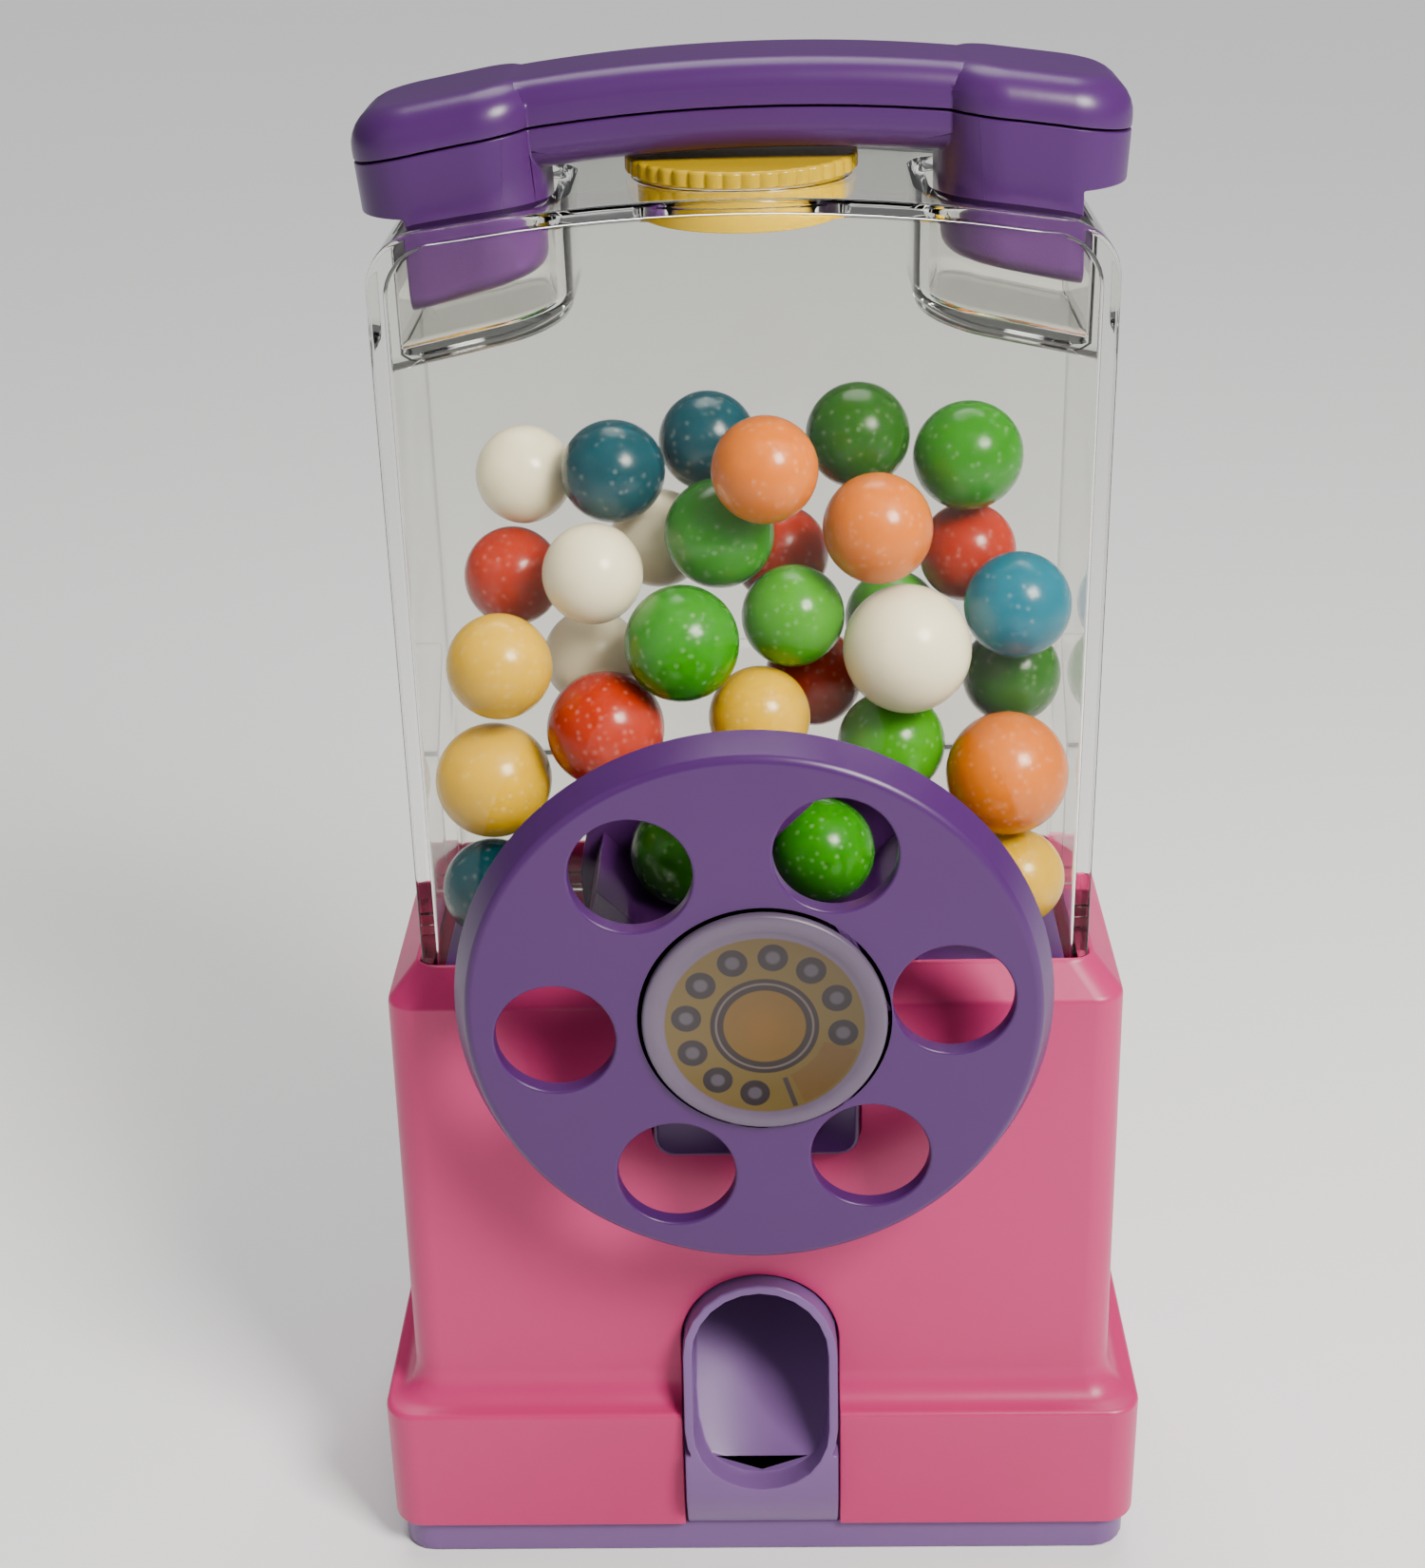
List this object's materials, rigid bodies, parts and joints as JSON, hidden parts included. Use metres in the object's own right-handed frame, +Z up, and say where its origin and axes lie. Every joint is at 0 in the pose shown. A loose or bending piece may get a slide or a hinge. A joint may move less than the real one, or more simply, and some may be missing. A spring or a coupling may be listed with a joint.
{
  "type": "gumball machine",
  "caption": "Toy gumball dispenser shaped like a telephone: pink base, clear hopper of gumballs, purple finger dial that turns a wheel, outlet in front, handset across the top, yellow refill cap.",
  "frame": {"origin": "middle of the base plate's underside, on the resting plane", "axes": "+Z up, +Y to the back, +X to the right when facing the dial; metres"},
  "size_m": [0.116, 0.0707, 0.2245],
  "materials": {
    "purple_plastic": "moulded, semi-gloss",
    "lilac_plastic": "moulded, semi-gloss",
    "pink_plastic": "moulded, semi-gloss, slightly translucent",
    "yellow_plastic": "moulded, glossy",
    "clear_plastic": "clear moulded styrene",
    "cream_plastic": "printed disc or plain nylon",
    "zinc_steel": "bright zinc plate",
    "gumball_white": "sugar shell, polished, faintly speckled",
    "gumball_yellow": "sugar shell, polished, faintly speckled",
    "gumball_orange": "sugar shell, polished, faintly speckled",
    "gumball_red": "sugar shell, polished, faintly speckled",
    "gumball_green": "sugar shell, polished, faintly speckled",
    "gumball_mint": "sugar shell, polished, faintly speckled",
    "gumball_forest": "sugar shell, polished, faintly speckled",
    "gumball_teal": "sugar shell, polished, faintly speckled",
    "gumball_blue": "sugar shell, polished, faintly speckled"
  },
  "bodies": {
    "root": {"base_plate": "lilac_plastic", "base_shell": "pink_plastic", "base_screw_1": "zinc_steel", "base_screw_2": "zinc_steel", "base_screw_3": "zinc_steel", "base_screw_4": "zinc_steel", "outlet_chute": "lilac_plastic", "hopper": "clear_plastic", "wheel_trough": "purple_plastic", "rear_baffle": "clear_plastic", "bearing_bracket": "purple_plastic", "gumball_01": "gumball_teal", "gumball_02": "gumball_teal", "gumball_03": "gumball_orange", "gumball_04": "gumball_forest", "gumball_05": "gumball_green", "gumball_06": "gumball_white", "gumball_07": "gumball_white", "gumball_08": "gumball_green", "gumball_09": "gumball_red", "gumball_10": "gumball_orange", "gumball_11": "gumball_red", "gumball_12": "gumball_blue", "gumball_13": "gumball_red", "gumball_14": "gumball_white", "gumball_15": "gumball_green", "gumball_16": "gumball_mint", "gumball_17": "gumball_mint", "gumball_18": "gumball_yellow", "gumball_19": "gumball_white", "gumball_20": "gumball_white", "gumball_21": "gumball_red", "gumball_22": "gumball_forest", "gumball_23": "gumball_red", "gumball_24": "gumball_yellow", "gumball_25": "gumball_mint", "gumball_26": "gumball_orange", "gumball_27": "gumball_yellow", "gumball_28": "gumball_teal", "gumball_29": "gumball_yellow"},
    "dial": {"dial": "purple_plastic", "dial_label": "cream_plastic", "dial_screw": "zinc_steel", "drive_shaft": "purple_plastic", "thrust_washer": "cream_plastic", "retaining_clip": "zinc_steel", "dispensing_wheel": "purple_plastic", "wheel_gumball_1": "gumball_green", "wheel_gumball_2": "gumball_forest"},
    "handset": {"handset_upper_shell": "purple_plastic", "handset_lower_shell": "purple_plastic", "handset_screw_1": "zinc_steel", "handset_screw_2": "zinc_steel"},
    "cap": {"refill_cap": "yellow_plastic"}
  },
  "joints": [
    {"name": "dial_turn", "type": "hinge", "parent": "root", "child": "dial", "pos_m": [0, -0.035, 0.1028], "axis": [0, -1, 0], "continuous": true},
    {"name": "handset_lift", "type": "slide", "parent": "root", "child": "handset", "axis": [0, 0, 1], "range_m": [0, 0.08]},
    {"name": "cap_twist", "type": "hinge", "parent": "root", "child": "cap", "pos_m": [0, 0, 0.2097], "axis": [0, 0, 1], "range_deg": [0, 90]}
  ]
}
